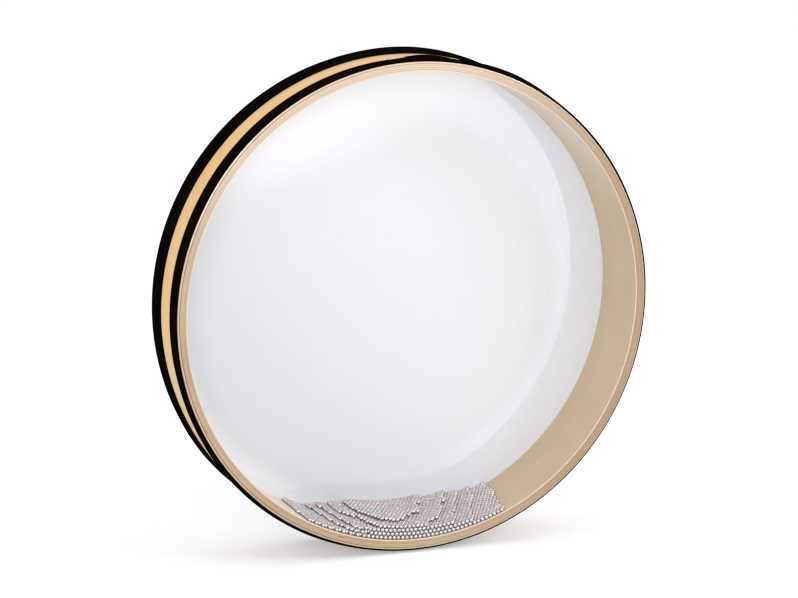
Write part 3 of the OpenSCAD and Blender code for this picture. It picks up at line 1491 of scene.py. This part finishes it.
@dataclass
class ShotHeap:
    """The loose shot, heaped at the bottom: rows that follow the wall and end in terraces.

    On the left the balls lie in lines along the drum's axis, and elsewhere in lines along the heads.
    """

    ball_d: float = 3.175 * MM
    pitch: float = 3.3 * MM
    line_gap: float = 2.8 * MM
    row_rise: float = 2.72 * MM
    lines: int = 22
    half_angle: float = 0.6
    seam: float = -37.0 * MM

    ragged: float = 1.3 * MM
    ragged_size: Span = (7 * MM, 5 * MM)
    ragged_plane: float = 3.1
    frayed: float = 1.5 * MM
    frayed_size: Span = (2 * MM, 2 * MM)
    frayed_plane: float = 9.7
    plane_step: float = 5.0

    jitter: float = 0.05 * MM
    seed: int = 11
    rounds: int = 12
    sinking_rounds: int = 6
    sink: float = 0.006 * MM
    pushes: int = 14
    push_share: float = 0.7
    near: float = 1.3
    least_gap: float = 0.1 * MM
    ball_cuts: int = 4

    @property
    def ball_r(self) -> float:
        """Half of a ball's diameter."""
        return self.ball_d / 2

    def seats_along_heads(self, bed_r: float, room: float) -> list[Seat]:
        """List the seats right of the seam: lines that run beside the heads.

        Args:
            bed_r: How far the middles of the lowest balls lie from the axis.
            room: How far a ball's middle may lie from the drum's middle plane.

        Returns:
            The seats.
        """
        turn = self.pitch / bed_r
        seats = []
        for line in range(self.lines):
            y = -room + 2 * room * line / (self.lines - 1)
            for row in range(len(TERRACES)):
                radius = bed_r - row * self.row_rise
                for step in range(int(self.seam / bed_r / turn), int(self.half_angle / turn)):
                    angle = (step + ((row + line) % 2) / 2) * turn
                    if radius * math.sin(angle) > self.seam:
                        seats.append(Seat(row, angle, radius, y))
        return seats

    def seats_along_axis(self, bed_r: float, room: float) -> list[Seat]:
        """List the seats left of the seam: lines that run from head to head.

        Args:
            bed_r: How far the middles of the lowest balls lie from the axis.
            room: How far a ball's middle may lie from the drum's middle plane.

        Returns:
            The seats.
        """
        turn = self.line_gap / bed_r
        count = int(2 * room / self.ball_d) - 1
        step_y = 2 * room / count
        seats = []
        for row in range(len(TERRACES)):
            radius = bed_r - row * self.row_rise
            for line in range(int(-self.half_angle / turn), 1):
                angle = (line + (row % 2) / 3) * turn
                if radius * math.sin(angle) <= self.seam:
                    odd = (line + row) % 2
                    for place in range(count + 1 - odd):
                        seats.append(Seat(row, angle, radius, -room + (place + odd / 2) * step_y))
        return seats

    def wander(self, x: float, y: float, row: int) -> float:
        """Work out how far a row's end wanders: in slow curves, and from ball to ball.

        Args:
            x: The place across the drum.
            y: The place along the axis.
            row: The row's number.

        Returns:
            The length in metres.
        """
        length = 0.0
        for most, (across, along), plane in (
            (self.ragged, self.ragged_size, self.ragged_plane),
            (self.frayed, self.frayed_size, self.frayed_plane),
        ):
            length += most * noise.noise(Vector((x / across, y / along, plane + self.plane_step * row)))
        return length

    def seats(self, cavity_r: float, half_depth: float) -> np.ndarray:
        """Set the balls in their rows.

        Args:
            cavity_r: The wall's inner radius.
            half_depth: Half of the room between the heads.

        Returns:
            The middle of each ball.
        """
        bed_r = cavity_r - self.ball_r
        room = half_depth - self.ball_r
        places = []
        for seat in self.seats_along_heads(bed_r, room) + self.seats_along_axis(bed_r, room):
            x, z = seat.radius * math.sin(seat.angle), -seat.radius * math.cos(seat.angle)
            if TERRACES[seat.row].holds(x, seat.y, self.wander(x, seat.y, seat.row)):
                places.append((x, seat.y, z))
        return np.array(places)

    def close_pairs(self, places: np.ndarray) -> tuple[np.ndarray, np.ndarray]:
        """Find the balls that may touch.

        Args:
            places: The middle of each ball.

        Returns:
            The two balls of each pair.
        """
        tree = kdtree.KDTree(len(places))
        for index, place in enumerate(places):
            tree.insert(place, index)
        tree.balance()
        first, second = [], []
        for index, place in enumerate(places):
            for _, other, _ in tree.find_range(place, self.ball_d * self.near):
                if other > index:
                    first.append(index)
                    second.append(other)
        return np.array(first), np.array(second)

    def settle(self, places: np.ndarray, cavity_r: float, half_depth: float) -> np.ndarray:
        """Let the balls sink and push each other apart until they lie on each other and on the walls.

        Args:
            places: The middle of each ball.
            cavity_r: The wall's inner radius.
            half_depth: Half of the room between the heads.

        Returns:
            The settled places.
        """
        chance = np.random.default_rng(self.seed)
        places = places + chance.normal(0.0, self.jitter, places.shape)
        bed_r = cavity_r - self.ball_r
        room = half_depth - self.ball_r
        for round_number in range(self.rounds):
            first, second = self.close_pairs(places)
            sink = self.sink if round_number < self.sinking_rounds else 0.0
            for _ in range(self.pushes):
                places[:, 2] -= sink
                apart = places[first] - places[second]
                distance = np.maximum(np.linalg.norm(apart, axis=1), self.least_gap)
                push = apart * (np.maximum(self.ball_d - distance, 0.0) / distance * 0.5)[:, None]
                move = np.zeros_like(places)
                np.add.at(move, first, push)
                np.add.at(move, second, -push)
                places += self.push_share * move
                away = np.hypot(places[:, 0], places[:, 2])
                places[:, [0, 2]] *= np.minimum(1.0, bed_r / away)[:, None]
                places[:, 1] = np.clip(places[:, 1], -room, room)
        return places

    def ball(self) -> tuple[np.ndarray, np.ndarray]:
        """Make one ball: a cube's faces cut into squares and blown up to a sphere.

        Returns:
            Its corners about its middle, and the four corners of each face.
        """
        cuts = self.ball_cuts
        index: dict[tuple[int, ...], int] = {}
        faces = []
        for axis in range(3):
            for side in (0, cuts):
                for i in range(cuts):
                    for j in range(cuts):
                        corners = [(i, j), (i + 1, j), (i + 1, j + 1), (i, j + 1)]
                        if side == 0:
                            corners.reverse()
                        face = []
                        for u, v in corners:
                            key = [0, 0, 0]
                            key[axis], key[(axis + 1) % 3], key[(axis + 2) % 3] = side, u, v
                            face.append(index.setdefault(tuple(key), len(index)))
                        faces.append(face)
        grid = np.tan((np.array(list(index)) / cuts * 2 - 1) * math.pi / 4)
        points = grid / np.linalg.norm(grid, axis=1)[:, None] * self.ball_r
        return points, np.array(faces)

    @staticmethod
    def packed_sheets() -> list[str]:
        """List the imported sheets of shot.

        Returns:
            Their nodes' names, from the front head to the back.
        """
        names = [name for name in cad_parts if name.startswith("shot_sheet_")]
        return sorted(names, key=lambda name: int(name.rsplit("_", 1)[1]))

    def build(self) -> None:
        """Make the heap, one piece for each sheet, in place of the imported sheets."""
        cavity_r = radii("shell_inner_ply")[0]
        half_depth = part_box("shell_inner_ply")[1].y
        material = SteelFinish(
            "bright_steel", light=srgb(214, 209, 208), dark=srgb(200, 195, 193),
            shade_by_the_head=srgb(201, 195, 196), head_from=self.ball_d - half_depth,
        ).material()
        places = self.settle(self.seats(cavity_r, half_depth), cavity_r, half_depth)
        room = half_depth - self.ball_r
        nodes = self.packed_sheets()
        sheets = len(nodes)
        sheet_of = np.clip(((places[:, 1] + room) / (2 * room) * sheets).astype(int), 0, sheets - 1)
        ball_points, ball_faces = self.ball()
        for sheet, node in enumerate(nodes):
            centres = places[sheet_of == sheet]
            points = (centres[:, None, :] + ball_points[None, :, :]).reshape(-1, 3)
            offsets = np.arange(len(centres))[:, None, None] * len(ball_points)
            faces = (ball_faces[None, :, :] + offsets).reshape(-1, 4).tolist()
            name = f"shot_layer_{sheet + 1}"
            piece = mesh_piece(name, points, faces, Body.SHOT, material)
            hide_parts(node)
            log.info("%s holds %d balls", piece.name, len(centres))
        log.info("the heap holds %d balls", len(places))


@dataclass(frozen=True)
class SoftLamp:
    """A square soft lamp that faces the drum, with its place and side in metres and its power in watts."""

    name: str
    place: tuple[float, float, float]
    side: float
    power: float

    def hang(self) -> None:
        """Hang the lamp at its place."""
        light = bpy.data.lights.new(self.name, "AREA")
        light.shape = "SQUARE"
        light.size = self.side
        light.energy = self.power
        lamp = bpy.data.objects.new(self.name, light)
        lamp.location = self.place
        lamp.rotation_euler = Vector(self.place).to_track_quat("Z", "Y").to_euler()
        bpy.context.scene.collection.objects.link(lamp)


@dataclass
class Studio:
    """A pale floor, a white surround, soft lamps and the camera."""

    floor_size: float = 24.0
    floor_colour: Colour = (0.68, 0.68, 0.68)
    floor_roughness: float = 0.9
    floor_lift: float = 0.32
    floor_drop: float = 1.9 * MM
    lamps: tuple[SoftLamp, ...] = (
        SoftLamp("key_lamp", (-1.05, -2.9, 0.75), 1.5, 48.0),
        SoftLamp("fill_lamp", (1.9, -1.5, 1.3), 1.0, 18.0),
    )
    camera_place: tuple[float, float, float] = (-0.9119, -2.4903, 0.5744)
    camera_azimuth: float = -20.08
    camera_elevation: float = 12.22
    lens: float = 169.71
    sensor_width: float = 36.0
    stretch: float = 1.004
    side_shift: float = -0.0005
    rise_shift: float = 0.0011
    pixel_filter: float = 1.25

    def surround(self) -> None:
        """Make the world, white to look at and as a light."""
        world = bpy.data.worlds.new("white_surround")
        world.use_nodes = True
        background = world.node_tree.nodes["Background"]
        background.inputs["Color"].default_value = (*WHITE, 1.0)
        background.inputs["Strength"].default_value = 1.0
        bpy.context.scene.world = world

    def whiteness(self, graph: Graph) -> Socket:
        """Tell the rays that look at the floor or mirror it from those that it lights.

        Args:
            graph: The floor's graph.

        Returns:
            1 for what looks at it, and 0 for what it lights.
        """
        path = graph.add("ShaderNodeLightPath")
        seen = graph.math("MAXIMUM", path.outputs["Is Camera Ray"], path.outputs["Is Glossy Ray"])
        return graph.math("MAXIMUM", seen, path.outputs["Is Transmission Ray"])

    def floor(self) -> None:
        """Lay the floor just under the drum, as white as the surround save where the drum shades it."""
        half = self.floor_size / 2
        level = cad_box[0][2] - self.floor_drop
        mesh = bpy.data.meshes.new("floor")
        corners = [(-half, -half, level), (half, -half, level), (half, half, level), (-half, half, level)]
        mesh.from_pydata(corners, [], [(0, 1, 2, 3)])
        floor = bpy.data.objects.new("floor", mesh)
        bpy.context.scene.collection.objects.link(floor)
        material, graph, shader = Finish("pale_floor").start()
        shader.inputs["Base Color"].default_value = (*self.floor_colour, 1.0)
        shader.inputs["Roughness"].default_value = self.floor_roughness
        shader.inputs["Specular IOR Level"].default_value = 0.0
        shader.inputs["Emission Color"].default_value = (*WHITE, 1.0)
        lift = graph.math("MULTIPLY", self.whiteness(graph), self.floor_lift)
        graph.put(lift, shader.inputs["Emission Strength"])
        mesh.materials.append(material)

    def camera(self) -> None:
        """Set the camera at the photograph's place, level, and looking along its own direction."""
        turn, rise = math.radians(self.camera_azimuth), math.radians(self.camera_elevation)
        right = Vector((math.cos(turn), math.sin(turn), 0.0))
        up = Vector((-math.sin(turn) * math.sin(rise), math.cos(turn) * math.sin(rise), math.cos(rise)))
        back = right.cross(up)
        data = bpy.data.cameras.new("camera")
        data.lens = self.lens
        data.sensor_width = self.sensor_width
        data.sensor_fit = "HORIZONTAL"
        data.shift_x = self.side_shift
        data.shift_y = self.rise_shift
        bpy.context.scene.render.pixel_aspect_x = self.stretch
        bpy.context.scene.cycles.filter_width = self.pixel_filter
        camera = bpy.data.objects.new("camera", data)
        rotation = Matrix((right, up, back)).transposed()
        camera.matrix_world = Matrix.Translation(self.camera_place) @ rotation.to_4x4()
        bpy.context.scene.collection.objects.link(camera)
        bpy.context.scene.camera = camera

    def build(self) -> None:
        """Set up everything round the drum."""
        bpy.context.scene.view_settings.view_transform = "Standard"
        self.surround()
        self.floor()
        for lamp in self.lamps:
            lamp.hang()
        self.camera()
        log.info("studio is set")


def main() -> None:
    """Build the drum's looks and the studio, in order."""
    logging.basicConfig(level=logging.INFO, format="%(name)s: %(message)s")
    figure, stain, haze = wood_figure(), glue_stain(), film_haze()
    Studio().build()
    Shell(figure, stain).build()
    Heads(haze).build()
    Tapes().build()
    ShotHeap().build()


if __name__ == "__main__":
    main()
